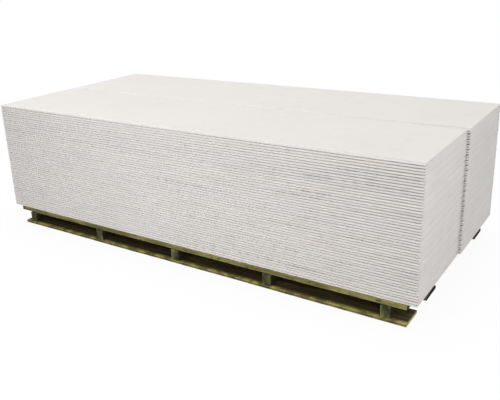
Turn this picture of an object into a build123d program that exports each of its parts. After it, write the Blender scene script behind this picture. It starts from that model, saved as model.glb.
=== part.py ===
from build123d import *
from math import sin
import os

# A full pallet load of drywall: two stacks of sheets side by side on a long timber pallet.
# X runs along the sheets, Y across them from the front to the rear, and Z up from the floor.
# The origin is on the floor, under the middle of the load. All sizes are in millimetres.

# One sheet. Its face is tapered along both long edges and ends in a small bevel. The face paper is
# folded round the edge onto the back, where the corner is well rounded.
sheet_length = 2600.0
sheet_width = 600.0
sheet_thickness = 12.5
taper_width = 45.0
taper_depth = 1.5
face_corner_bevel = 1.5
back_corner_radius = 5.5

# The two stacks.
sheets_in_stack = 50
sheets_in_group = 4
air_between_sheets = 0.3
air_between_stacks = 1.2
stack_stagger = 5.5
end_stray = 0.5
edge_stray = 0.4

# The pallet's timber.
top_board_length = 2495.0
top_board_width = 140.0
top_board_thickness = 22.0
bottom_board_length = 2465.0
bottom_board_width = 140.0
bottom_board_thickness = 16.0
bearer_width = 46.0
bearer_height = 62.0
boards_in_deck = 5

# Where the pallet's pieces lie. The bottom deck stands out past the load's front and ends short of
# its rear, the bearers stand out on both sides, and they stand in from the top boards' ends. Each
# slip is how far a piece lies from its true place along the load.
bottom_deck_stand_out = 8.0
bottom_deck_stand_in = 20.2
bearer_stand_out = 6.0
bearer_stand_in = 75.0
pallet_slip = 7.0
bottom_deck_slip = 25.0
bearer_slips = (6.0, 0.0, -18.0, -24.0, 4.0)
bottom_board_slips = (0.0, -3.0, -22.0, -26.0, 1.0)

load_width = 2 * sheet_width + air_between_stacks
deck_level = bottom_board_thickness + bearer_height
load_level = deck_level + top_board_thickness
sheet_pitch = sheet_thickness + air_between_sheets
bearer_span = top_board_length - 2 * bearer_stand_in - bearer_width

os.makedirs("parts", exist_ok=True)


def spread(count, span):
    """Places of count pieces over a span centred on 0, the first and last at its ends."""
    return [span * (i / (count - 1) - 0.5) for i in range(count)]


def sheet_place(number, side):
    """Where a sheet's middle lies: number counts from 1 at the bottom, and side is -1 or 1.

    Sheets with an odd number lie face up and the rest face down, so they meet face to face
    and back to back by turns. Each one strays a little from true, as laid by hand.
    """
    x = side * (stack_stagger / 2 + end_stray * sin(2.3 * number))
    y = side * (sheet_width / 2 + air_between_stacks / 2 + edge_stray * sin(1.7 * number))
    z = load_level + (number - 1) * sheet_pitch
    if number % 2:
        return Location((x, y, z))
    return Location((x, y, z + sheet_thickness), (180, 0, 0))


# One sheet, lying face up, with its long edges shaped and its ends cut square.
half_width = sheet_width / 2
edge_height = sheet_thickness - taper_depth
with BuildPart() as sheet:
    with BuildSketch(Plane.YZ.offset(-sheet_length / 2)) as section:
        with BuildLine():
            Polyline(
                (-half_width, 0),
                (half_width, 0),
                (half_width, edge_height),
                (half_width - taper_width, sheet_thickness),
                (taper_width - half_width, sheet_thickness),
                (-half_width, edge_height),
                close=True,
            )
        make_face()
        fillet(section.vertices().group_by(Axis.Y)[0], radius=back_corner_radius)
        face_corners = section.vertices().filter_by_position(Axis.Y, edge_height, edge_height)
        chamfer(face_corners, length=face_corner_bevel)
    extrude(amount=sheet_length)

# Both stacks: the bottom and the top sheet by themselves, and the sheets between in groups.
for stack, side in (("front", -1), ("rear", 1)):
    groups = {f"{stack}_bottom_sheet": [1]}
    for first in range(2, sheets_in_stack, sheets_in_group):
        last = min(first + sheets_in_group, sheets_in_stack) - 1
        groups[f"{stack}_sheets_{first:02d}_{last:02d}"] = list(range(first, last + 1))
    groups[f"{stack}_top_sheet"] = [sheets_in_stack]
    for name, numbers in groups.items():
        with BuildPart() as group:
            with Locations([sheet_place(number, side) for number in numbers]):
                add(sheet.part)
        group.part.label = name
        export_step(group.part, f"parts/{name}.step")

# Bottom boards, along the load: they lie on the floor.
bottom_deck_width = load_width + bottom_deck_stand_out - bottom_deck_stand_in
bottom_deck_middle = (bottom_deck_width - load_width) / 2 - bottom_deck_stand_out
bottom_rows = spread(boards_in_deck, bottom_deck_width - bottom_board_width)
for i, (row, slip) in enumerate(zip(bottom_rows, bottom_board_slips), start=1):
    with BuildPart() as bottom_board:
        with BuildSketch():
            with Locations((bottom_deck_slip + slip, bottom_deck_middle + row)):
                Rectangle(bottom_board_length, bottom_board_width)
        extrude(amount=bottom_board_thickness)
    bottom_board.part.label = f"bottom_board_{i}"
    export_step(bottom_board.part, f"parts/bottom_board_{i}.step")

# Bearers, across the load: they stand on edge between the two decks of boards.
bearer_rows = spread(len(bearer_slips), bearer_span)
for i, (row, slip) in enumerate(zip(bearer_rows, bearer_slips), start=1):
    with BuildPart() as bearer:
        with BuildSketch(Plane.XY.offset(bottom_board_thickness)):
            with Locations((pallet_slip + row + slip, 0)):
                Rectangle(bearer_width, load_width + 2 * bearer_stand_out)
        extrude(amount=bearer_height)
    bearer.part.label = f"bearer_{i}"
    export_step(bearer.part, f"parts/bearer_{i}.step")

# Top boards, along the load: the sheets lie on them, and the outer ones are flush with its sides.
top_rows = spread(boards_in_deck, load_width - top_board_width)
for i, row in enumerate(top_rows, start=1):
    with BuildPart() as top_board:
        with BuildSketch(Plane.XY.offset(deck_level)):
            with Locations((pallet_slip, row)):
                Rectangle(top_board_length, top_board_width)
        extrude(amount=top_board_thickness)
    top_board.part.label = f"top_board_{i}"
    export_step(top_board.part, f"parts/top_board_{i}.step")
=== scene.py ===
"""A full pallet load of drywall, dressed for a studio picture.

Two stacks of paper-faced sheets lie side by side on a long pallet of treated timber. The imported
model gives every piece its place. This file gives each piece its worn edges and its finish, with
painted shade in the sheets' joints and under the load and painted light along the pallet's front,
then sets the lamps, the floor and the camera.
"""
import logging
import math
import random
from dataclasses import dataclass, field
from enum import Enum
from typing import Iterable, Sequence, Union

import bpy
import numpy as np
from mathutils import Matrix, Vector, noise


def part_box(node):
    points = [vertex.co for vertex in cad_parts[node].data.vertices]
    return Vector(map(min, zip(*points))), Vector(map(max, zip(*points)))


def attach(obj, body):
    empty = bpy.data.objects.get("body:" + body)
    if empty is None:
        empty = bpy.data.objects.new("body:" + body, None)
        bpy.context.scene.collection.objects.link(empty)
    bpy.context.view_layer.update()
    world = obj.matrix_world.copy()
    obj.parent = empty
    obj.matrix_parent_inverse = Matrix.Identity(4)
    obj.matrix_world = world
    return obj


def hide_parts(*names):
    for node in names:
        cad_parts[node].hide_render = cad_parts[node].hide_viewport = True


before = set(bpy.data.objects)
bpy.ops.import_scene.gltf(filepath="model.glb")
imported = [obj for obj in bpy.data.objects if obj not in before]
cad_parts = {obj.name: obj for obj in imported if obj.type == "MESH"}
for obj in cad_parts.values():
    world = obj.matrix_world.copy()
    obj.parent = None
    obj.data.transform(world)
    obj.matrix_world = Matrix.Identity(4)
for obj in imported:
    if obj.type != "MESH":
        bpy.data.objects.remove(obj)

log = logging.getLogger("drywall_load")

MM = 0.001
BODY = "root"

Colour = tuple[float, float, float, float]
Range = tuple[float, float]
Material = bpy.types.Material
Object = bpy.types.Object
Socket = bpy.types.NodeSocket
Source = Union[Socket, float, Sequence[float]]
Inputs = dict[str, Source]

WHITE: Colour = (1.0, 1.0, 1.0, 1.0)


class Slot(Enum):
    """The record's material slots."""

    PAPER = "board_paper"
    TIMBER = "pallet_timber"


class SheetSkin(Enum):
    """The finishes of a sheet, by their numbers in its mesh. SHEET_FINISHES has them in this order."""

    FACE_PAPER = 0
    BACK_PAPER = 1
    GYPSUM = 2
    CUT_PAPER = 3


class TimberSkin(Enum):
    """The finishes of a timber, by their numbers in its mesh."""

    SIDE = 0
    END = 1


class Stack(Enum):
    """The two stacks of sheets, by the side of the load they stand on."""

    FRONT = "front"
    REAR = "rear"


class Lie(Enum):
    """Which way a sheet lies."""

    FACE_UP = "face up"
    FACE_DOWN = "face down"


class Run(Enum):
    """Which way a timber runs, as the axes of its length, width and thickness."""

    ALONG_LOAD = (0, 1, 2)
    ACROSS_LOAD = (1, 0, 2)


class Mark(Enum):
    """Mesh attributes that the finishes read."""

    TONE = "piece_tone"
    # Wear, with painted shade in the sheets' joints and painted light on the timbers' arrises and the front
    # bottom board's margin.
    WEAR = "edge_wear"
    GRAIN = "grain_place"


def srgb(red: int, green: int, blue: int) -> Colour:
    """Turn a colour as a paint card gives it, 0 to 255, into the shader's own scale."""
    def linear(channel: int) -> float:
        """Undo the display curve of one channel."""
        share = channel / 255
        return share / 12.92 if share <= 0.04045 else ((share + 0.055) / 1.055) ** 2.4
    return (linear(red), linear(green), linear(blue), 1.0)


class Graph:
    """A short way to lay and join shader nodes in one tree."""

    def __init__(self, tree: bpy.types.NodeTree) -> None:
        """Take over a node tree and clear it."""
        self.tree = tree
        self.tree.nodes.clear()

    @staticmethod
    def socket(sockets: Iterable[Socket], key: str) -> Socket:
        """Find one of a node's inputs or outputs by its identifier, or else by its name."""
        found = [s for s in sockets if s.identifier == key] or [s for s in sockets if s.name == key]
        return found[0]

    def feed(self, node: bpy.types.Node, key: str, source: Source) -> None:
        """Join a socket to one of a node's inputs, or set the input to a plain value.

        Args:
            node: the node that is fed.
            key: the input's identifier or name.
            source: an output socket, or a value.
        """
        target = self.socket(node.inputs, key)
        if isinstance(source, Socket):
            self.tree.links.new(source, target)
        else:
            target.default_value = source

    def add(self, kind: str, inputs: Inputs | None = None, **settings: object) -> bpy.types.Node:
        """Add a node.

        Args:
            kind: the node's type, without the leading ShaderNode.
            inputs: what each input takes.
            settings: the node's own properties.

        Returns:
            The new node.
        """
        node = self.tree.nodes.new("ShaderNode" + kind)
        for name, value in settings.items():
            setattr(node, name, value)
        for key, source in (inputs or {}).items():
            self.feed(node, key, source)
        return node

    def out(self, node: bpy.types.Node, key: str) -> Socket:
        """Give one output of a node."""
        return self.socket(node.outputs, key)

    def read(self, kind: str, key: str, inputs: Inputs | None = None, **settings: object) -> Socket:
        """Add a node and give one of its outputs."""
        return self.out(self.add(kind, inputs, **settings), key)

    def maths(self, operation: str, first: Source, second: Source) -> Socket:
        """Add a Math node on two values and give its result."""
        return self.read("Math", "Value", {"Value": first, "Value_001": second}, operation=operation)

    def times(self, first: Source, second: Source) -> Socket:
        """Multiply two values."""
        return self.maths("MULTIPLY", first, second)

    def span(self, value: Source, low: float, high: float, start: float = 0.0, end: float = 1.0) -> Socket:
        """Spread low to high smoothly over start to end, and hold the result beyond them."""
        inputs = {"Value": value, "From Min": low, "From Max": high, "To Min": start, "To Max": end}
        return self.read("MapRange", "Result", inputs, interpolation_type="SMOOTHSTEP")

    def blend(self, share: Source, first: Source, second: Source) -> Socket:
        """Lay a share of a second colour, from 0 to 1, over a first."""
        inputs = {"Factor_Float": share, "A_Color": first, "B_Color": second}
        return self.read("Mix", "Result_Color", inputs, data_type="RGBA")

    def cloud(self, vector: Source, scale: Source, detail: float, roughness: float) -> Socket:
        """Add a noise texture and give its value."""
        inputs = {"Vector": vector, "Scale": scale, "Detail": detail, "Roughness": roughness}
        return self.read("TexNoise", "Fac", inputs)

    def stretch(self, vector: Source, scale: tuple[float, float, float]) -> Socket:
        """Scale a vector by its axes, so that what follows is drawn out along one of them."""
        return self.read("Mapping", "Vector", {"Vector": vector, "Scale": scale})

    def mark(self, mark: Mark, output: str = "Fac") -> Socket:
        """Read one of the mesh attributes."""
        return self.read("Attribute", output, attribute_name=mark.value)

    def bump(self, height: Source, strength: float, depth: float) -> Socket:
        """Turn a height into a normal."""
        return self.read("Bump", "Normal", {"Height": height, "Strength": strength, "Distance": depth})

    def mix(self, share: Source, first: Socket, second: Socket) -> Socket:
        """Mix two shaders."""
        return self.read("MixShader", "Shader", {"Fac": share, "Shader": first, "Shader_001": second})

    def surface(self, inputs: Inputs) -> None:
        """End a material with a shader that takes these inputs."""
        self.add("OutputMaterial", {"Surface": self.read("BsdfPrincipled", "BSDF", inputs)})


def new_material(name: str) -> tuple[Material, Graph]:
    """Make a material and clear its nodes.

    Args:
        name: the material's name.

    Returns:
        The material, and the graph of its nodes.
    """
    material = bpy.data.materials.new(name)
    material.use_nodes = True
    return material, Graph(material.node_tree)


def put_in_scene(thing: Object) -> None:
    """Link an object to the scene."""
    bpy.context.scene.collection.objects.link(thing)


class Effect:
    """A shader node group that several finishes share."""

    KINDS = {"colour": "NodeSocketColor", "value": "NodeSocketFloat", "vector": "NodeSocketVector"}

    def __init__(self, name: str, inputs: dict[str, str], outputs: dict[str, str]) -> None:
        """Make an empty group.

        Args:
            name: the group's name.
            inputs: the kind of each input.
            outputs: the kind of each output.
        """
        self.tree = bpy.data.node_groups.new(name, "ShaderNodeTree")
        for heading, sockets in (("INPUT", inputs), ("OUTPUT", outputs)):
            for key, kind in sockets.items():
                self.tree.interface.new_socket(name=key, in_out=heading, socket_type=self.KINDS[kind])
        self.graph = Graph(self.tree)
        self.entry = self.tree.nodes.new("NodeGroupInput")
        self.exit = self.tree.nodes.new("NodeGroupOutput")

    def given(self, key: str) -> Socket:
        """Give one of the group's inputs, as seen from inside."""
        return Graph.socket(self.entry.outputs, key)

    def put(self, key: str, source: Socket) -> None:
        """Join a socket inside the group to one of its outputs."""
        self.graph.feed(self.exit, key, source)

    def place(self, graph: Graph, **inputs: Source) -> bpy.types.Node:
        """Place the group in a material. A space in an input's name is given as an underscore."""
        named = {key.replace("_", " "): source for key, source in inputs.items()}
        return graph.add("Group", named, node_tree=self.tree)


class EffectBook:
    """The shared effects, each built once."""

    BEND_SHARE = 0.25
    KNOT_SHARE = 0.8

    def __init__(self) -> None:
        """Build every effect."""
        self.mottle = self.build_mottle()
        self.grime_and_shade = self.build_grime_and_shade()
        self.fibre = self.build_fibre()
        self.streaks = self.build_streaks()

    @staticmethod
    def build_mottle() -> Effect:
        """Build the slow drift between two tones of one material, with a step from piece to piece."""
        effect = Effect(
            "mottle",
            {"Vector": "vector", "Scale": "value", "Base": "colour", "Drift": "colour", "Amount": "value",
             "Tone": "value", "Tone Colour": "colour", "Tone Spread": "value"},
            {"Color": "colour"},
        )
        graph, given = effect.graph, effect.given
        broad = graph.cloud(given("Vector"), given("Scale"), detail=4.0, roughness=0.55)
        share = graph.times(graph.span(broad, low=0.36, high=0.64), given("Amount"))
        drifted = graph.blend(share, given("Base"), given("Drift"))
        step = graph.times(given("Tone"), given("Tone Spread"))
        effect.put("Color", graph.blend(step, drifted, given("Tone Colour")))
        return effect

    @staticmethod
    def build_grime_and_shade() -> Effect:
        """Build dirt that gathers in patches, and a darker colour laid on where a mark says: on the sheets
        this is painted shade in the joints' mouths.
        """
        effect = Effect(
            "grime_and_shade",
            {"Vector": "vector", "Scale": "value", "Color": "colour", "Grime": "colour",
             "Patches": "value", "Worn": "value", "On Worn": "value"},
            {"Color": "colour", "Mask": "value"},
        )
        graph, given = effect.graph, effect.given
        coarse = graph.cloud(given("Vector"), given("Scale"), detail=6.0, roughness=0.62)
        patches = graph.times(graph.span(coarse, low=0.5, high=0.72), given("Patches"))
        worn = graph.times(given("Worn"), given("On Worn"))
        mask = graph.maths("MINIMUM", graph.maths("ADD", patches, worn), 1.0)
        effect.put("Color", graph.blend(mask, given("Color"), given("Grime")))
        effect.put("Mask", mask)
        return effect

    @staticmethod
    def build_fibre() -> Effect:
        """Build the fine, slightly drawn-out unevenness of paper, plaster and sawn wood."""
        effect = Effect(
            "fibre",
            {"Vector": "vector", "Fine Scale": "value", "Broad Scale": "value", "Broad Share": "value"},
            {"Height": "value"},
        )
        graph, given = effect.graph, effect.given
        fine = graph.cloud(given("Vector"), given("Fine Scale"), detail=5.0, roughness=0.6)
        broad = graph.cloud(given("Vector"), given("Broad Scale"), detail=3.0, roughness=0.5)
        effect.put("Height", graph.maths("ADD", fine, graph.times(broad, given("Broad Share"))))
        return effect

    @classmethod
    def build_streaks(cls) -> Effect:
        """Build the growth rings of a sawn timber as they run out along its face, with knots."""
        effect = Effect(
            "streaks",
            {"Vector": "vector", "Early": "colour", "Late": "colour", "Knot": "colour",
             "Rings": "value", "Strength": "value"},
            {"Color": "colour", "Height": "value"},
        )
        graph, given = effect.graph, effect.given
        vector = given("Vector")
        bend = graph.cloud(graph.stretch(vector, (1.2, 9.0, 9.0)), scale=1.0, detail=2.0, roughness=0.5)
        wavy = graph.read("TexNoise", "Fac", {
            "Vector": graph.stretch(vector, (0.9, 26.0, 26.0)), "Scale": given("Rings"),
            "Detail": 6.0, "Roughness": 0.62, "Distortion": 0.35})
        bent = graph.maths("ADD", wavy, graph.times(bend, cls.BEND_SHARE))
        rings = graph.span(bent, low=0.48, high=0.78)
        ringed = graph.blend(graph.times(rings, given("Strength")), given("Early"), given("Late"))
        cells = graph.read("TexVoronoi", "Distance", {
            "Vector": graph.stretch(vector, (2.1, 11.0, 11.0)), "Scale": 1.0, "Randomness": 1.0})
        knots = graph.span(cells, low=0.05, high=0.16, start=1.0, end=0.0)
        effect.put("Color", graph.blend(graph.times(knots, cls.KNOT_SHARE), ringed, given("Knot")))
        effect.put("Height", graph.maths("SUBTRACT", rings, knots))
        return effect


@dataclass(frozen=True)
class PaperFinish:
    """A finish of the sheets: lining paper or bare gypsum."""

    name: str
    colour: Colour
    drift_colour: Colour
    tone_colour: Colour
    grime_and_shade_colour: Colour
    drift: float = 0.5
    tone_spread: float = 0.5
    patches: float = 0.1
    worn: float = 0.0
    roughness: float = 0.7
    relief: float = 0.04 * MM
    fine_scale: float = 900.0
    broad_scale: float = 60.0


@dataclass(frozen=True)
class TimberFinish:
    """A finish of the pallet's sawn and treated timber."""

    name: str
    early: Colour
    late: Colour
    knot: Colour
    stain: Colour
    # The arris colour goes on where the mesh's wear mark is high: worn arrises, partly a painted highlight,
    # and the painted light on the outer bottom boards' front margin.
    arris: Colour
    arris_wear_and_light_share: float = 0.4
    stain_share: float = 0.6
    tone_spread: float = 0.35
    ring_scale: float = 3.0
    ring_strength: float = 0.7
    patches: float = 0.55
    patch_scale: float = 22.0
    grain: tuple[float, float, float] = (1.0, 1.0, 1.0)
    roughness: float = 0.8
    relief: float = 0.8 * MM


# Its darker colour is painted shade in the joints' mouths, laid on by the wear-and-shading mark; a little of
# it lies in patches as dirt.
FACE_PAPER = PaperFinish(
    name="face_paper", colour=srgb(240, 237, 234), drift_colour=srgb(238, 234, 229),
    tone_colour=srgb(231, 229, 230), grime_and_shade_colour=srgb(108, 105, 101),
    drift=0.6, tone_spread=0.5, patches=0.025, worn=0.12,
)
BACK_PAPER = PaperFinish(
    name="back_paper", colour=srgb(236, 233, 229), drift_colour=srgb(232, 228, 223),
    tone_colour=srgb(232, 229, 226), grime_and_shade_colour=srgb(206, 201, 195), tone_spread=0.3, patches=0.12,
)
GYPSUM_CORE = PaperFinish(
    name="gypsum_core", colour=srgb(236, 232, 229), drift_colour=srgb(230, 227, 224),
    tone_colour=srgb(229, 227, 225), grime_and_shade_colour=srgb(196, 193, 190),
    drift=0.8, tone_spread=0.15, patches=0.12, roughness=0.95, relief=0.2 * MM, fine_scale=350.0,
)
CUT_PAPER = PaperFinish(
    name="cut_paper_edge", colour=srgb(232, 229, 226), drift_colour=srgb(227, 224, 221),
    tone_colour=srgb(226, 224, 222), grime_and_shade_colour=srgb(200, 197, 193), patches=0.12, roughness=0.9,
)
SHEET_FINISHES = (FACE_PAPER, BACK_PAPER, GYPSUM_CORE, CUT_PAPER)
DECK_TIMBER = TimberFinish(
    name="deck_timber", early=srgb(178, 170, 106), late=srgb(120, 112, 60), knot=srgb(50, 42, 22),
    stain=srgb(96, 89, 48), arris=srgb(192, 184, 120), stain_share=0.75, patches=0.9, patch_scale=34.0,
)
# Dark colours, partly painted shade: the bearers stand in the shade under the load.
BEARER_TIMBER = TimberFinish(
    name="bearer_timber", early=srgb(62, 58, 38), late=srgb(36, 33, 21), knot=srgb(24, 20, 12),
    stain=srgb(30, 27, 17), arris=srgb(92, 89, 54), stain_share=0.8,
)
# Its dark colours are partly painted shade under the load; its light arris colour, spread over the outer
# boards' front margin, is a painted strip of light.
BOTTOM_TIMBER = TimberFinish(
    name="bottom_timber", early=srgb(104, 90, 52), late=srgb(44, 36, 22), knot=srgb(30, 22, 13),
    stain=srgb(46, 37, 24), arris=srgb(196, 188, 106), arris_wear_and_light_share=0.9, stain_share=0.6,
    ring_strength=0.9, patches=0.75, patch_scale=30.0,
)
PALE_END = TimberFinish(
    name="pale_sawn_end", early=srgb(200, 198, 156), late=srgb(164, 160, 112), knot=srgb(110, 100, 70),
    stain=srgb(150, 146, 102), arris=srgb(204, 202, 160), ring_scale=8.0, ring_strength=0.7, roughness=0.9,
)
# Near-black end grain. On the top boards it is painted shade, as their ends lie under the sheets' overhang;
# the inner bottom boards' ends are just as dark.
DARK_END = TimberFinish(
    name="dark_sawn_end", early=srgb(40, 39, 29), late=srgb(26, 25, 18), knot=srgb(18, 16, 11),
    stain=srgb(22, 21, 15), arris=srgb(48, 46, 32), ring_scale=8.0, ring_strength=0.9, roughness=0.9,
)
BEARER_END = TimberFinish(
    name="bearer_end", early=srgb(108, 108, 70), late=srgb(30, 30, 19), knot=srgb(22, 21, 12),
    stain=srgb(44, 44, 27), arris=srgb(150, 148, 92), arris_wear_and_light_share=0.8, tone_spread=0.5, ring_scale=8.0,
    ring_strength=0.95, roughness=0.9, patches=0.7, patch_scale=40.0, grain=(1.0, 1.5, 0.3),
)


@dataclass(frozen=True)
class PaperMaterial:
    """Makes the finishes of the sheets."""

    effects: EffectBook

    def build(self, finish: PaperFinish) -> Material:
        """Make one material.

        Args:
            finish: its colours and relief.

        Returns:
            The material.
        """
        material, graph = new_material(finish.name)
        place = graph.read("TexCoord", "Object")
        mottle = self.effects.mottle.place(
            graph, Vector=place, Scale=1.7, Base=finish.colour, Drift=finish.drift_colour,
            Amount=finish.drift, Tone=graph.mark(Mark.TONE), Tone_Colour=finish.tone_colour,
            Tone_Spread=finish.tone_spread)
        # The wear-and-shading mark lays the darker colour on as painted shade in the joints' mouths.
        grime_and_shade = self.effects.grime_and_shade.place(
            graph, Vector=place, Scale=14.0, Color=graph.out(mottle, "Color"), Grime=finish.grime_and_shade_colour,
            Patches=finish.patches, Worn=graph.mark(Mark.WEAR), On_Worn=finish.worn)
        fibre = self.effects.fibre.place(
            graph, Vector=place, Fine_Scale=finish.fine_scale, Broad_Scale=finish.broad_scale,
            Broad_Share=0.6)
        graph.surface({
            "Base Color": graph.out(grime_and_shade, "Color"), "Roughness": finish.roughness,
            "Specular IOR Level": 0.25,
            "Normal": graph.bump(graph.out(fibre, "Height"), strength=0.5, depth=finish.relief)})
        return material


@dataclass(frozen=True)
class TimberMaterial:
    """Makes the finishes of the pallet's timber."""

    effects: EffectBook
    grime_gloss: float = 0.2

    def build(self, finish: TimberFinish) -> Material:
        """Make one material. It reads its place along the grain from the mesh.

        Args:
            finish: its colours and relief.

        Returns:
            The material.
        """
        material, graph = new_material(finish.name)
        place = graph.stretch(graph.mark(Mark.GRAIN, "Vector"), finish.grain)
        streaks = self.effects.streaks.place(
            graph, Vector=place, Early=finish.early, Late=finish.late, Knot=finish.knot,
            Rings=finish.ring_scale, Strength=finish.ring_strength)
        mottle = self.effects.mottle.place(
            graph, Vector=graph.stretch(place, (1.0, 3.0, 3.0)), Scale=5.0, Base=graph.out(streaks, "Color"),
            Drift=finish.stain, Amount=finish.stain_share, Tone=graph.mark(Mark.TONE),
            Tone_Colour=finish.stain, Tone_Spread=finish.tone_spread)
        grime_and_shade = self.effects.grime_and_shade.place(
            graph, Vector=graph.stretch(place, (1.0, 2.5, 2.5)), Scale=finish.patch_scale,
            Color=graph.out(mottle, "Color"), Grime=finish.knot, Patches=finish.patches)
        # Lighter arrises where the wear-and-shading mark is high: partly wear and partly a painted
        # highlight, and on the front bottom board a painted strip of light along its top face's front
        # margin.
        chips = graph.cloud(place, scale=16.0, detail=5.0, roughness=0.7)
        broken = graph.span(chips, low=0.42, high=0.6, start=0.25, end=1.0)
        rubbed_and_lit = graph.times(graph.maths("POWER", graph.mark(Mark.WEAR), 2.0), finish.arris_wear_and_light_share)
        colour = graph.blend(graph.times(rubbed_and_lit, broken), graph.out(grime_and_shade, "Color"), finish.arris)
        fibre = self.effects.fibre.place(
            graph, Vector=graph.stretch(place, (0.15, 1.0, 1.0)), Fine_Scale=420.0, Broad_Scale=70.0,
            Broad_Share=0.8)
        height = graph.maths("ADD", graph.out(fibre, "Height"), graph.out(streaks, "Height"))
        dirty = finish.roughness - self.grime_gloss
        graph.surface({
            "Base Color": colour, "Specular IOR Level": 0.3,
            "Roughness": graph.span(graph.out(grime_and_shade, "Mask"), 0.0, 1.0, finish.roughness, dirty),
            "Normal": graph.bump(height, strength=0.7, depth=finish.relief)})
        return material


@dataclass(frozen=True)
class NailMaterial:
    """Makes the nails' dull zinc, with rust in patches."""

    effects: EffectBook
    zinc: Colour = srgb(146, 146, 142)
    rust: Colour = srgb(104, 66, 40)

    def build(self) -> Material:
        """Make the material.

        Returns:
            The material.
        """
        material, graph = new_material("nail_metal")
        grime_and_shade = self.effects.grime_and_shade.place(
            graph, Vector=graph.read("TexCoord", "Object"), Scale=160.0, Color=self.zinc,
            Grime=self.rust, Patches=0.8)
        rusted = graph.out(grime_and_shade, "Mask")
        graph.surface({
            "Base Color": graph.out(grime_and_shade, "Color"),
            "Roughness": graph.span(rusted, 0.0, 1.0, start=0.45, end=0.85),
            "Metallic": graph.span(rusted, 0.0, 1.0, start=1.0, end=0.2)})
        return material


@dataclass
class MeshDraft:
    """Points and faces gathered for one mesh, with what each face and point is marked with."""

    points: list[np.ndarray] = field(default_factory=list)
    faces: list[tuple[int, ...]] = field(default_factory=list)
    materials: list[int] = field(default_factory=list)
    smooth: list[bool] = field(default_factory=list)
    sharp: set[tuple[int, int]] = field(default_factory=set)
    marks: dict[Mark, list[np.ndarray]] = field(default_factory=dict)
    count: int = 0

    def add_points(self, points: np.ndarray, marks: dict[Mark, np.ndarray]) -> int:
        """Add points with their marks.

        Args:
            points: one row of x, y, z for each point.
            marks: one value or row for each point, for every mark.

        Returns:
            The number of the first new point.
        """
        first = self.count
        self.points.append(points)
        for mark, values in marks.items():
            self.marks.setdefault(mark, []).append(values)
        self.count += len(points)
        return first

    def add_face(self, corners: Sequence[int], smooth: bool, material: int = 0) -> None:
        """Add one face with its shading and the number of its material."""
        self.faces.append(tuple(corners))
        self.materials.append(material)
        self.smooth.append(smooth)

    def build(self, name: str, materials: Sequence[Material]) -> Object:
        """Make the object and ride it on the load's only body.

        Args:
            name: the object's name.
            materials: the finishes that the faces' material numbers stand for.

        Returns:
            The new object.
        """
        mesh = bpy.data.meshes.new(name)
        mesh.from_pydata(np.concatenate(self.points).tolist(), [], self.faces)
        mesh.polygons.foreach_set("material_index", self.materials)
        mesh.polygons.foreach_set("use_smooth", self.smooth)
        for mark, values in self.marks.items():
            kind, key = ("FLOAT_VECTOR", "vector") if mark is Mark.GRAIN else ("FLOAT", "value")
            attribute = mesh.attributes.new(mark.value, kind, "POINT")
            attribute.data.foreach_set(key, np.concatenate(values).astype(np.float32).ravel())
        if self.sharp:
            hard = [tuple(sorted(edge.vertices)) in self.sharp for edge in mesh.edges]
            mesh.attributes.new("sharp_edge", "BOOLEAN", "EDGE").data.foreach_set("value", hard)
        for material in materials:
            mesh.materials.append(material)
        mesh.update()
        piece = bpy.data.objects.new(name, mesh)
        put_in_scene(piece)
        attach(piece, BODY)
        return piece


@dataclass
class Ripple:
    """A run of short dents along an edge, each from nothing up to its own depth, on a slow wave."""

    centres: np.ndarray
    reaches: np.ndarray
    depths: np.ndarray
    wave_depth: float
    wave_length: float
    wave_start: float
    fullness: float = 0.6
    cuts: tuple[float, ...] = (-1.0, -0.6, 0.0, 0.6, 1.0)

    def at(self, places: np.ndarray) -> np.ndarray:
        """Give the dents' depth at each place along the edge."""
        away = np.abs(places[:, None] - self.centres) / self.reaches
        dents = (np.clip(1.0 - away, 0.0, 1.0) ** self.fullness * self.depths).max(axis=1)
        wave = 0.5 + 0.5 * np.sin(places * math.tau / self.wave_length + self.wave_start)
        return np.minimum(dents + self.wave_depth * wave, 1.0)

    def stations(self) -> np.ndarray:
        """Give the places at which the edge has to be cut to show every dent."""
        return np.concatenate([self.centres + self.reaches * cut for cut in self.cuts])


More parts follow.
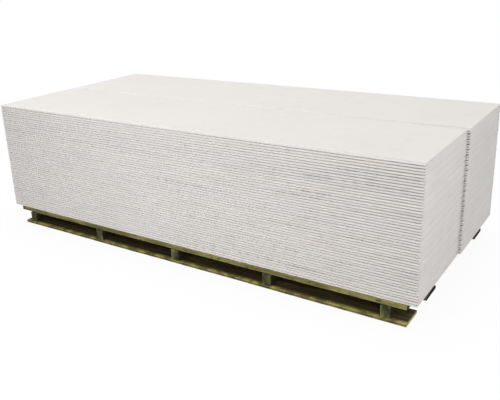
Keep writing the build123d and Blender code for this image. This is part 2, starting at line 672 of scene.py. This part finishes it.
@dataclass
class JointWear:
    """Where the long edges at the joints of a stack are dented open.

    Most joints have a few dents at most. Some are worn over a stretch, and there the dents follow
    one another closely. More of them lie towards the end that is handled.
    """

    seed: int
    length: float
    joints: int
    worn_joints: float = 0.42
    shortest: float = 5 * MM
    longest: float = 17 * MM
    spacing: float = 42 * MM
    spacing_shares: Range = (0.4, 1.6)
    single_dents: int = 3
    single_depth: float = 0.55
    worn_halves: Range = (60 * MM, 330 * MM)
    worn_depths: Range = (0.45, 1.0)
    dent_shares: Range = (0.35, 1.0)
    wave_depths: Range = (0.0, 0.25)
    wave_lengths: Range = (0.25, 0.9)
    handled_end: float = 0.5
    handled_depth: float = 0.75
    handled_curve: int = 3

    def __post_init__(self) -> None:
        """Draw every joint's dents, at the stack's front and at its rear."""
        rng = random.Random(self.seed)
        self.ripples = [[self.draw(rng) for _ in range(2)] for _ in range(self.joints + 1)]

    def draw(self, rng: random.Random) -> Ripple:
        """Draw the dents of one joint on one side.

        Args:
            rng: draws their places and depths.

        Returns:
            The joint's ripple.
        """
        centres = [rng.uniform(-0.5, 0.5) * self.length for _ in range(self.single_dents)]
        depths = [self.single_depth * rng.random() for _ in centres]
        if rng.random() < self.worn_joints:
            middle = rng.triangular(-0.5, 0.5, self.handled_end) * self.length
            half = rng.uniform(*self.worn_halves)
            depth = rng.uniform(*self.worn_depths)
            place = max(middle - half, -self.length / 2)
            while place < min(middle + half, self.length / 2):
                centres.append(place)
                depths.append(depth * rng.uniform(*self.dent_shares))
                place += self.spacing * rng.uniform(*self.spacing_shares)
        reaches = [rng.uniform(self.shortest, self.longest) for _ in centres]
        return Ripple(
            np.array(centres), np.array(reaches), np.array(depths), rng.uniform(*self.wave_depths),
            rng.uniform(*self.wave_lengths), rng.uniform(0.0, math.tau))

    def at(self, joint: int, side: int, places: np.ndarray) -> np.ndarray:
        """Give the wear of a joint at places along it; side is 0 in front and 1 at the rear."""
        handled = np.clip(places / self.length + 0.5, 0.0, 1.0) ** self.handled_curve
        return np.minimum(self.ripples[joint][side].at(places) + handled * self.handled_depth, 1.0)

    def stations(self, joints: Iterable[int], low: float, high: float) -> np.ndarray:
        """List where a sheet's edges have to be cut between two ends to show the dents of its joints."""
        places = np.concatenate([ripple.stations() for joint in joints for ripple in self.ripples[joint]])
        return np.round(places[(places > low + self.shortest) & (places < high - self.shortest)], 3)


@dataclass(frozen=True)
class CornerWear:
    """How the sheets' corners are crushed at the end that is handled, at +X, and how much shade is painted
    into the joints' mouths at the seam between the stacks.

    A press of 1 is as deep as the deepest dent along an edge.
    """

    reach: float = 14 * MM
    outer_press: float = 0.4
    seam_press: float = 0.5
    seam_shade: float = 9.0
    curve: float = 0.5
    cuts: tuple[float, ...] = (1.0, 0.6, 0.3, 0.1)

    def at(self, places: np.ndarray, end: float) -> np.ndarray:
        """Give how far places along a sheet are crushed, from 0 to 1, where it ends at the place given."""
        return np.clip(1.0 - (end - places) / self.reach, 0.0, 1.0) ** self.curve

    def stations(self, end: float) -> np.ndarray:
        """Give the places at which the edges have to be cut to show a crushed corner."""
        return np.round(end - self.reach * np.array(self.cuts), 4)


@dataclass
class SheetForm:
    """The form of one sheet: a flat core in paper that is folded round its long edges."""

    thickness: float = 12.5 * MM
    taper_width: float = 45 * MM
    taper_depth: float = 0.6 * MM
    taper_middle: float = 18 * MM
    taper_curve: float = 1.3
    paper_lap: float = 20 * MM
    paper_thickness: float = 0.5 * MM
    face_radius: float = 3.0 * MM
    back_radius: float = 5.6 * MM
    back_relief: float = 0.2 * MM
    edge_crown: float = 0.5 * MM
    back_growth: float = 0.15
    face_growth: float = 0.075
    pressed_lift: float = 1.5 * MM
    crushed_lap: float = 45 * MM
    # Painted shade: the joints' mouths are darkened, deepest where the edges are dented open, and the
    # pressed edges are a little darker all over.
    edge_darkening: float = 0.1
    mouth_shade: float = 2.6
    face_share: float = 0.6
    taper_share: float = 0.4
    taper_mouth: float = 0.2
    back_steps: int = 4
    face_steps: int = 2
    stations: int = 48

    def edge(
        self, back_press: np.ndarray, face_press: np.ndarray, crushed: np.ndarray,
    ) -> tuple[np.ndarray, np.ndarray]:
        """Work out the section of one long edge, from the paper's lap on the back to the face's taper.

        Args:
            back_press: how hard the back corner is pressed at each station, from 0 to 1.
            face_press: the same for the face corner.
            crushed: how far the sheet's corner is crushed there, which widens the press on the back.

        Returns:
            How far in from the edge and how high over the back each point lies, a row for each point.
        """
        back = self.back_radius * (1 + self.back_growth * back_press)
        back_lift = self.back_relief + self.pressed_lift * back_press
        face = self.face_radius * (1 + self.face_growth * face_press)
        face_top = self.thickness - self.taper_depth - self.pressed_lift * self.face_share * face_press
        still = np.ones_like(back_press)
        lap = self.paper_lap + (self.crushed_lap - self.paper_lap) * np.minimum(crushed, 1.0)
        inset, height = [lap], [0.0 * still]
        for step in range(self.back_steps + 1):
            turn = math.pi / 2 * step / self.back_steps
            inset.append(back * (1 - math.sin(turn)) + self.edge_crown * math.sin(turn))
            height.append(back_lift + back * (1 - math.cos(turn)))
        inset.append(0.0 * still)
        height.append((height[-1] + face_top - face) / 2)
        for step in range(self.face_steps + 1):
            turn = math.pi / 2 * step / self.face_steps
            inset.append(face * (1 - math.cos(turn)) + self.edge_crown * math.cos(turn))
            height.append(face_top - face * (1 - math.sin(turn)))
        fallen = self.taper_depth * (1 - self.taper_middle / self.taper_width) ** self.taper_curve
        inset += [self.taper_middle * still, self.taper_width * still]
        height.append(self.thickness - fallen - self.pressed_lift * self.taper_share * face_press)
        height.append(self.thickness * still)
        return np.array(inset), np.array(height)

    def mouth(self) -> np.ndarray:
        """Give how deep in a joint's mouth each point of an edge's section lies, from 0 to 1, which weights
        the shade painted there.
        """
        back = np.linspace(1.0, 0.0, self.back_steps + 1) ** 2
        face = np.linspace(0.0, 1.0, self.face_steps + 1) ** 2 * self.face_share
        return np.concatenate([[0.0], back, [0.0], face, [self.taper_mouth, 0.0]])

    def creases(self, points_in_edge: int) -> set[int]:
        """Give the points of one edge where a flat meets another form and the shading breaks."""
        first_face_point = self.back_steps + 3
        return {0, 1, first_face_point + self.face_steps, points_in_edge - 1}


@dataclass
class SheetPlace:
    """Where one sheet lies."""

    number: int
    low: np.ndarray
    high: np.ndarray

    @property
    def lie(self) -> Lie:
        """Odd sheets lie face up and even ones face down, so they meet face to face and back to back."""
        return Lie.FACE_UP if self.number % 2 else Lie.FACE_DOWN


@dataclass
class SheetStack:
    """One stack of sheets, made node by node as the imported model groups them."""

    stack: Stack
    papers: tuple[Material, ...]
    seed: int
    end_stand: float
    sheets: int = 50
    drift_depth: float = 0.35 * MM
    drift_waves: int = 3
    drift_turns: Range = (0.0, 6.0)
    drift_paces: Range = (1.0, 9.0)
    level_slack: float = 1e-4
    form: SheetForm = field(default_factory=SheetForm)
    corners: CornerWear = CornerWear()

    def __post_init__(self) -> None:
        """Read the sheets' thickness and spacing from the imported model."""
        low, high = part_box(f"{self.stack.value}_bottom_sheet")
        top_low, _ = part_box(f"{self.stack.value}_top_sheet")
        self.form.thickness = high.z - low.z
        self.pitch = (top_low.z - low.z) / (self.sheets - 1)
        self.length = high.x - low.x
        self.floor_level = low.z
        self.wear = JointWear(self.seed, self.length, self.sheets)

    def nodes(self) -> list[str]:
        """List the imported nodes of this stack, from the bottom up."""
        names = [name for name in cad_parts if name.startswith(self.stack.value + "_")]
        return sorted(names, key=lambda name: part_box(name)[0].z)

    def places(self, node: str) -> list[SheetPlace]:
        """Find each sheet of a node by the levels at which its corners lie.

        Args:
            node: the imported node.

        Returns:
            The sheets' places, from the bottom up.
        """
        corners = np.array([vertex.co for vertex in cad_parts[node].data.vertices])
        levels = np.floor((corners[:, 2] - self.floor_level) / self.pitch + self.level_slack).astype(int)
        found = []
        for level in sorted(set(levels.tolist())):
            own = corners[levels == level]
            found.append(SheetPlace(level + 1, own.min(axis=0), own.max(axis=0)))
        return found

    def build(self) -> list[Object]:
        """Build every node's sheets.

        Returns:
            The new pieces.
        """
        pieces = []
        rng = random.Random(self.seed + 1)
        for node in self.nodes():
            draft = MeshDraft()
            for place in self.places(node):
                self.add_sheet(draft, place, rng)
            piece = draft.build(f"{node}_dressed", self.papers)
            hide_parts(node)
            pieces.append(piece)
        return pieces

    def add_sheet(self, draft: MeshDraft, place: SheetPlace, rng: random.Random) -> None:
        """Add one sheet to a mesh.

        Args:
            draft: the mesh that it goes into.
            place: where it lies.
            rng: draws its tone and the drift of its edges.
        """
        form = self.form
        face_up = place.lie is Lie.FACE_UP
        joints = (place.number - 1, place.number)
        back_joint, face_joint = joints if face_up else joints[::-1]
        end = place.high[0] + self.end_stand
        even = np.linspace(place.low[0], end, form.stations + 1)
        dents = self.wear.stations(joints, place.low[0], end)
        along = np.unique(np.concatenate([even, dents, self.corners.stations(end)]))
        mouth = form.mouth()[:, None]
        rings, wear_and_shading_rows = [], []
        crushed = self.corners.at(along, end) * (place.number < self.sheets)
        for side in (0, 1):
            at_seam = (side == 1) == (self.stack is Stack.FRONT)
            press = (self.corners.seam_press if at_seam else self.corners.outer_press) * crushed
            back_press = np.maximum(self.wear.at(back_joint, side, along), press)
            face_press = np.maximum(self.wear.at(face_joint, side, along), press)
            inset, height = form.edge(back_press, face_press, crushed)
            inset = inset + self.drift(rng, along)
            across = place.low[1] + inset if side == 0 else place.high[1] - inset
            level = place.low[2] + height if face_up else place.high[2] - height
            rings.append(np.stack([np.broadcast_to(along, across.shape), across, level], axis=-1))
            # Painted shade in the joints' mouths, where dents open them and at the crushed corners of the
            # seam between the stacks.
            grime_and_shade = form.edge_darkening * (inset < form.taper_middle) + form.mouth_shade * mouth
            seam_shade = at_seam * self.corners.seam_shade * crushed * mouth ** 2
            wear_and_shading_rows.append(np.maximum(back_press, face_press) * grime_and_shade + seam_shade)
        ring = np.concatenate([rings[0], rings[1][::-1]])
        wear = np.concatenate([wear_and_shading_rows[0], wear_and_shading_rows[1][::-1]])
        if not face_up:
            ring, wear = ring[::-1], wear[::-1]
        self.skin(draft, ring, wear, rng.random())

    def drift(self, rng: random.Random, along: np.ndarray) -> np.ndarray:
        """Give the slow wander of an edge that was never quite straight, always inwards."""
        wander = np.zeros_like(along)
        for _ in range(self.drift_waves):
            swing = math.sin(rng.uniform(*self.drift_turns))
            pace = rng.uniform(*self.drift_paces)
            wander += swing * np.sin(along * pace + rng.uniform(*self.drift_turns))
        return self.drift_depth * (0.5 + wander / (2 * self.drift_waves))

    def skin(self, draft: MeshDraft, ring: np.ndarray, wear: np.ndarray, tone: float) -> None:
        """Cover a sheet's rings with faces and close its ends. The last strip of a ring is the flat back.

        Args:
            draft: the mesh that it goes into.
            ring: the points, by place in the ring and by station along the sheet.
            wear: how worn each point is, and how much shade is painted on it.
            tone: the sheet's own tone, from 0 to 1.
        """
        steps, stations = ring.shape[:2]
        points = ring.transpose(1, 0, 2).reshape(-1, 3)
        marks = {Mark.TONE: np.full(len(points), tone), Mark.WEAR: wear.T.reshape(-1)}
        first = draft.add_points(points, marks)
        creases = self.form.creases(steps // 2)
        creases |= {steps - 1 - step for step in creases}
        for step in range(steps):
            after = (step + 1) % steps
            paper = SheetSkin.BACK_PAPER if step == steps - 1 else SheetSkin.FACE_PAPER
            for station in range(stations - 1):
                here, there = first + station * steps, first + (station + 1) * steps
                draft.add_face((here + step, there + step, there + after, here + after), True, paper.value)
                if step in creases:
                    draft.sharp.add((here + step, there + step))
        for station in (0, stations - 1):
            self.close_end(draft, first + station * steps, ring[:, station], station == 0, tone)

    def close_end(
        self, draft: MeshDraft, first: int, outline: np.ndarray, at_start: bool, tone: float,
    ) -> None:
        """Close one cut end: the paper's cut edge all round, and the gypsum within it.

        Args:
            draft: the mesh that it goes into.
            first: the number of the outline's first point.
            outline: the end's outline.
            at_start: whether this end faces -X.
            tone: the sheet's own tone.
        """
        steps = len(outline)
        chord = np.roll(outline, -1, axis=0) - np.roll(outline, 1, axis=0)
        inward = np.stack([np.zeros(steps), chord[:, 2], -chord[:, 1]], axis=-1)
        inward /= np.linalg.norm(inward, axis=1, keepdims=True)
        inner = outline + inward * self.form.paper_thickness
        own = draft.add_points(inner, {Mark.TONE: np.full(steps, tone), Mark.WEAR: np.zeros(steps)})
        for step in range(steps):
            after = (step + 1) % steps
            corners = (first + step, own + step, own + after, first + after)
            draft.add_face(corners[::-1] if at_start else corners, False, SheetSkin.CUT_PAPER.value)
        core = range(own, own + steps)
        draft.add_face(core if at_start else core[::-1], False, SheetSkin.GYPSUM.value)


@dataclass
class SawnTimber:
    """One sawn timber: a bar with worn arrises, uneven faces and its own run of grain."""

    node: str
    run: Run
    seed: int
    arris: float = 1.2 * MM
    arris_wear: float = 5.2 * MM
    hollow: float = 0.7 * MM
    under_lift: float = 0.0
    end_skew: float = 1.0 * MM
    wane: float = 0.0
    margin: float = 12 * MM
    margin_fade: float = 8 * MM
    # Painted light: how much of the arris colour lies on the wide face's margin and on the narrow faces.
    margin_painted_light: float = 0.0
    edge_wear: float = 0.0
    worn_side: int = 0
    sheltered_wear: float = 0.2
    end_stand: float = 0.0
    skew_curve: int = 40
    saw_marks: float = 0.35 * MM
    chip_pace: float = 14.0
    chip_curve: float = 1.5
    wane_pace: float = 2.1
    wane_bias: float = 0.1
    hollow_pace: float = 5.0
    grain_reach: tuple[float, float, float] = (40.0, 4.0, 4.0)
    stations: int = 90
    corner_steps: int = 2

    def build(self, side_finish: Material, end_finish: Material) -> Object:
        """Build the timber in its node's place.

        Args:
            side_finish: the finish of its sawn faces.
            end_finish: the finish of its end grain.

        Returns:
            The new piece.
        """
        low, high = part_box(self.node)
        low.z += self.under_lift
        high.x += self.end_stand
        centre, size = (low + high) / 2, high - low
        length, width, thickness = (size[axis] for axis in self.run.value)
        rng = random.Random(self.seed)
        shift = np.array([rng.uniform(0, reach) for reach in self.grain_reach])
        rings, wear_and_shading_rows = [], []
        for station in np.linspace(-0.5, 0.5, self.stations + 1):
            ring, wear = self.section(width, thickness, station * length, rng)
            skew = self.end_skew * abs(2 * station) ** self.skew_curve
            lengthwise = station * length - math.copysign(skew, station) * (0.5 + ring[:, 0] / width)
            rings.append(np.column_stack([lengthwise, ring]))
            wear_and_shading_rows.append(wear)
        local = np.concatenate(rings)
        points = np.empty_like(local)
        for own_axis, axis in enumerate(self.run.value):
            points[:, axis] = centre[axis] + local[:, own_axis]
        draft = MeshDraft()
        draft.add_points(points, {
            Mark.TONE: np.full(len(points), rng.random()), Mark.WEAR: np.concatenate(wear_and_shading_rows),
            Mark.GRAIN: local + shift})
        self.cover(draft, len(rings[0]))
        piece = draft.build(f"{self.node}_dressed", (side_finish, end_finish))
        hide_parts(self.node)
        return piece

    @staticmethod
    def uneven(*place: float) -> float:
        """Give smooth noise at a place, from -1 to 1."""
        return noise.noise(Vector(place))

    def section(
        self, width: float, thickness: float, along: float, rng: random.Random,
    ) -> tuple[np.ndarray, np.ndarray]:
        """Work out one section of the bar, always within its own size.

        Args:
            width: the bar's width.
            thickness: the bar's thickness.
            along: how far along the bar the section lies, from its middle.
            rng: draws the marks of the saw.

        Returns:
            The section's points, and how worn each one is, with the painted light of the margin and the
            narrow faces.
        """
        half = np.array([width / 2, thickness / 2])
        points, wear = [], []
        corners = [np.array(corner) for corner in ((-1, -1), (1, -1), (1, 1), (-1, 1))]
        for number, corner in enumerate(corners):
            # The seed and the corner's number choose a stretch of noise that no other corner has.
            chip = self.uneven(along * self.chip_pace, self.seed * 3.1, number * 7.7)
            slow = self.uneven(along * self.wane_pace, self.seed * 1.7, number * 3.3 + 40)
            radius = self.arris + self.arris_wear * max(0.0, chip) ** self.chip_curve
            radius += self.wane * max(0.0, slow + self.wane_bias)
            radius += self.saw_marks * rng.random()
            pivot = corner * (half - radius)
            for step in range(self.corner_steps + 1):
                turn = math.pi * (1 + (number + step / self.corner_steps) / 2)
                points.append(pivot + radius * np.array([math.cos(turn), math.sin(turn)]))
                wear.append(1.0)
            following = corners[(number + 1) % 4]
            outward = (corner + following) / 2
            for share, worn in self.edge_points() if number % 2 else self.face_points(width):
                flat = (corner + (following - corner) * share) * half
                rough = self.uneven(along * self.hollow_pace, share * 3 + number * 5, self.seed * 2.3)
                points.append(flat - outward * self.hollow * abs(rough))
                wear.append(worn)
        points, wear = np.array(points), np.array(wear)
        if self.worn_side:
            wear = np.where(points[:, 0] * self.worn_side > 0, wear, wear * self.sheltered_wear)
        return points, wear

    def face_points(self, width: float) -> list[tuple[float, float]]:
        """List the points across a wide face, as shares of its width, and how worn each one is, with the
        margin's painted light.
        """
        margin, beyond = self.margin / width, (self.margin + self.margin_fade) / width
        near = [(margin, self.margin_painted_light), (beyond, 0.0)]
        return near + [(0.5, 0.0)] + [(1 - share, worn) for share, worn in reversed(near)]

    def edge_points(self) -> list[tuple[float, float]]:
        """List the points up a narrow face, as shares of the thickness, and how much wear and painted light
        each one has.
        """
        return [(share, self.edge_wear) for share in (0.25, 0.5, 0.75)]

    def cover(self, draft: MeshDraft, steps: int) -> None:
        """Cover the sections with faces and close both ends.

        A bar across the load has left-handed axes, so its faces turn over.

        Args:
            draft: the mesh that they go into.
            steps: the points in one section.
        """
        turn = -1 if self.run is Run.ACROSS_LOAD else 1
        for station in range(self.stations):
            here, there = station * steps, (station + 1) * steps
            for step in range(steps):
                after = (step + 1) % steps
                corners = (here + step, here + after, there + after, there + step)
                draft.add_face(corners[::turn], True, TimberSkin.SIDE.value)
        end = self.stations * steps
        draft.add_face(range(steps)[::-turn], False, TimberSkin.END.value)
        draft.add_face(range(end, end + steps)[::turn], False, TimberSkin.END.value)


@dataclass
class Nails:
    """The flat-headed nails that hold the pallet's boards to its bearers."""

    head_radius: float = 4.2 * MM
    head_thickness: float = 1.0 * MM
    shank_radius: float = 1.6 * MM
    shank_length: float = 45 * MM
    sides: int = 14
    spread: float = 38 * MM
    stray: float = 6 * MM
    seed: int = 77

    def build(self, finish: Material) -> Object:
        """Build all the nails as one piece.

        Args:
            finish: the nails' metal.

        Returns:
            The new piece.
        """
        rng = random.Random(self.seed)
        draft = MeshDraft()
        bearers = sorted(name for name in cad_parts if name.startswith("bearer_"))
        for deck, heading in (("top_board_", 1), ("bottom_board_", -1)):
            for board in sorted(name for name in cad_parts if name.startswith(deck)):
                low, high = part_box(board)
                level = high.z if heading > 0 else low.z
                for bearer in bearers:
                    bearer_low, bearer_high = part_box(bearer)
                    for side in (-1, 1):
                        x = (bearer_low.x + bearer_high.x) / 2 + rng.uniform(-1, 1) * self.stray
                        y = (low.y + high.y) / 2 + side * self.spread + rng.uniform(-1, 1) * self.stray
                        self.add_nail(draft, x, y, level, heading)
        return draft.build("nails", (finish,))

    def add_nail(self, draft: MeshDraft, x: float, y: float, level: float, heading: int) -> None:
        """Add one nail: a domed head, a shank and a point.

        Args:
            draft: the mesh that it goes into.
            x: where it is along the load.
            y: where it is across the load.
            level: the level of its head's outer face.
            heading: 1 where the head faces up, and -1 where it faces down.
        """
        # The radius and the depth of each ring, from the head's outer face down to the point.
        rings = (
            (self.head_radius * 0.7, 0.0),
            (self.head_radius, self.head_thickness * 0.35),
            (self.head_radius, self.head_thickness),
            (self.shank_radius, self.head_thickness * 1.3),
            (self.shank_radius, self.shank_length),
            (self.shank_radius * 0.2, self.shank_length + 4 * self.shank_radius),
        )
        turns = np.linspace(0, 2 * math.pi, self.sides, endpoint=False)
        points = [
            (x + radius * math.cos(turn), y + radius * math.sin(turn), level - heading * depth)
            for radius, depth in rings for turn in turns]
        flat = np.zeros(len(points))
        first = draft.add_points(np.array(points), {Mark.TONE: flat, Mark.WEAR: flat})
        last = first + len(points) - self.sides
        for ring in range(first, last, self.sides):
            for side in range(self.sides):
                here, after = ring + side, ring + (side + 1) % self.sides
                corners = (here, here + self.sides, after + self.sides, after)
                draft.add_face(corners[::heading], ring != first)
        draft.add_face(range(first, first + self.sides)[::heading], False)
        draft.add_face(range(last, last + self.sides)[::-heading], False)


@dataclass
class Pallet:
    """The timber pallet: three layers of sawn timber and the nails between them."""

    effects: EffectBook
    underside_lift: float = 0.3 * MM
    bottom_end_stands: tuple[float, ...] = (0.0, 4 * MM, 0.0, 0.0, 9 * MM)
    bottom_wane: float = 5 * MM
    bottom_margin: float = 20 * MM
    # Painted light on the outer bottom boards: a lit strip along the front margin of their top face, and
    # lighter narrow faces.
    outer_margin_painted_light: float = 0.7
    outer_edge_wear_and_light: float = 0.6
    bearer_wane: float = 2 * MM
    bearer_stations: int = 60
    bearer_seed: int = 10
    deck_seed: int = 20

    def build(self) -> list[Object]:
        """Build the boards, the bearers and the nails.

        Returns:
            The new pieces.
        """
        timber = TimberMaterial(self.effects)
        deck, bearer, bottom = map(timber.build, (DECK_TIMBER, BEARER_TIMBER, BOTTOM_TIMBER))
        pale_end, dark_end, bearer_end = map(timber.build, (PALE_END, DARK_END, BEARER_END))
        last = len(self.bottom_end_stands)
        pieces = []
        for number, end_stand in enumerate(self.bottom_end_stands, start=1):
            outer = number in (1, last)
            board = SawnTimber(
                f"bottom_board_{number}", Run.ALONG_LOAD, number, wane=self.bottom_wane,
                under_lift=self.underside_lift, margin=self.bottom_margin,
                margin_painted_light=self.outer_margin_painted_light * outer, edge_wear=self.outer_edge_wear_and_light * outer,
                worn_side=1 if number == last else -1, end_stand=end_stand)
            pieces.append(board.build(bottom, pale_end if number == 1 else dark_end))
            post = SawnTimber(
                f"bearer_{number}", Run.ACROSS_LOAD, number + self.bearer_seed, wane=self.bearer_wane,
                stations=self.bearer_stations)
            pieces.append(post.build(bearer, bearer_end))
            plank = SawnTimber(f"top_board_{number}", Run.ALONG_LOAD, number + self.deck_seed)
            # The top boards' near-black ends are painted shade from the sheets' overhang.
            pieces.append(plank.build(deck, dark_end))
        pieces.append(Nails().build(NailMaterial(self.effects).build()))
        return pieces


@dataclass(frozen=True)
class Lamp:
    """One soft lamp, aimed at the load."""

    name: str
    place: tuple[float, float, float]
    size: float
    power: float
    colour: tuple[float, float, float] = (1.0, 1.0, 1.0)
    aim: tuple[float, float, float] = (0.0, 0.0, 0.4)

    def build(self) -> None:
        """Hang the lamp."""
        light = bpy.data.lights.new(self.name, "AREA")
        light.shape = "SQUARE"
        light.size = self.size
        light.energy = self.power
        light.color = self.colour
        lamp = bpy.data.objects.new(self.name, light)
        lamp.location = self.place
        lamp.rotation_euler = (Vector(self.aim) - Vector(self.place)).to_track_quat("-Z", "Y").to_euler()
        put_in_scene(lamp)


@dataclass
class Studio:
    """The pale floor, the white surroundings and the lamps."""

    floor_half: float = 14.0
    floor_colour: Colour = (0.72, 0.72, 0.73, 1.0)
    floor_seen: Colour = (1.06, 1.06, 1.06, 1.0)
    shadow_share: float = 0.07
    fade_start: float = 2.6
    fade_end: float = 4.6
    surround: Colour = (0.96, 0.98, 1.0, 1.0)
    surround_strength: float = 0.26
    lamps: tuple[Lamp, ...] = (
        Lamp("front", (-0.5, -2.7, 1.7), size=1.4, power=19.5, colour=(1.0, 0.985, 0.97)),
        Lamp("near_camera", (2.8, -3.4, 1.8), size=1.8, power=52.0, colour=(1.0, 0.985, 0.97)),
        Lamp("overhead", (-0.2, 1.1, 5.0), size=4.0, power=119.0, colour=(1.0, 0.99, 0.975)),
        Lamp("left", (-4.0, 0.5, 3.0), size=2.5, power=55.0),
        Lamp("right", (4.5, 0.2, 2.5), size=2.5, power=42.0),
    )

    def build(self) -> None:
        """Set the view's colour handling, then make the surroundings, the floor and the lamps."""
        bpy.context.scene.view_settings.view_transform = "Standard"
        self.build_surround()
        self.build_floor()
        for lamp in self.lamps:
            lamp.build()

    def build_surround(self) -> None:
        """Light the load evenly from all round, and show plain white behind it."""
        world = bpy.data.worlds.new("surround")
        bpy.context.scene.world = world
        world.use_nodes = True
        graph = Graph(world.node_tree)
        lit = graph.read("Background", "Background", {
            "Color": self.surround, "Strength": self.surround_strength})
        seen = graph.read("Background", "Background", {"Color": WHITE, "Strength": 1.0})
        to_camera = graph.read("LightPath", "Is Camera Ray")
        graph.add("OutputWorld", {"Surface": graph.mix(to_camera, lit, seen)})

    def build_floor(self) -> None:
        """Lay a floor that shows the load's soft shadow and fades into the white behind it."""
        half = self.floor_half
        mesh = bpy.data.meshes.new("studio_floor")
        corners = [(-half, -half, 0), (half, -half, 0), (half, half, 0), (-half, half, 0)]
        mesh.from_pydata(corners, [], [(0, 1, 2, 3)])
        material, graph = new_material("floor_paint")
        place = graph.read("TexCoord", "Object")
        reach = graph.read("VectorMath", "Value", {"Vector": place}, operation="LENGTH")
        far = graph.span(reach, self.fade_start, self.fade_end, start=1.0 - self.shadow_share, end=1.0)
        own = graph.read("BsdfDiffuse", "BSDF", {"Color": self.floor_colour})
        shown = graph.read("BsdfDiffuse", "BSDF", {"Color": self.floor_seen})
        white = graph.read("Emission", "Emission", {"Color": WHITE, "Strength": 1.0})
        to_camera = graph.read("LightPath", "Is Camera Ray")
        seen = graph.mix(to_camera, own, graph.mix(far, shown, white))
        graph.add("OutputMaterial", {"Surface": seen})
        mesh.materials.append(material)
        floor = bpy.data.objects.new("studio_floor", mesh)
        put_in_scene(floor)


@dataclass(frozen=True)
class StudioCamera:
    """The camera, at the place and angle from which the load was pictured."""

    place: tuple[float, float, float] = (2.0376, -2.9764, 1.5138)
    turned_left: float = math.radians(34.348)
    tilted_down: float = math.radians(19.137)
    rolled: float = math.radians(-2.257)
    focal_pixels: float = 644.3
    centre_pixels: tuple[float, float] = (238.7, 183.6)
    picture_pixels: tuple[int, int] = (500, 400)
    sensor: float = 36.0

    def build(self) -> None:
        """Set up the camera and make it the scene's own."""
        width, height = self.picture_pixels
        data = bpy.data.cameras.new("camera")
        data.sensor_width = self.sensor
        data.lens = self.focal_pixels / width * self.sensor
        data.shift_x = (width / 2 - self.centre_pixels[0]) / width
        data.shift_y = (self.centre_pixels[1] - height / 2) / width
        data.dof.use_dof = False
        camera = bpy.data.objects.new("camera", data)
        heading = Matrix.Rotation(self.turned_left, 4, "Z")
        pitch = Matrix.Rotation(math.pi / 2 - self.tilted_down, 4, "X")
        roll = Matrix.Rotation(self.rolled, 4, "Z")
        camera.matrix_world = Matrix.Translation(self.place) @ heading @ pitch @ roll
        put_in_scene(camera)
        bpy.context.scene.camera = camera


def main() -> None:
    """Build the studio and the load, and report each piece."""
    logging.basicConfig(level=logging.INFO, format="%(name)s: %(message)s")
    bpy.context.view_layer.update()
    StudioCamera().build()
    Studio().build()
    effects = EffectBook()
    papers = tuple(map(PaperMaterial(effects).build, SHEET_FINISHES))
    front = SheetStack(Stack.FRONT, papers, seed=11, end_stand=-1.7 * MM)
    rear = SheetStack(Stack.REAR, papers, seed=23, end_stand=2.4 * MM)
    for piece in front.build() + rear.build() + Pallet(effects).build():
        log.info("%s: %d faces", piece.name, len(piece.data.polygons))


if __name__ == "__main__":
    main()
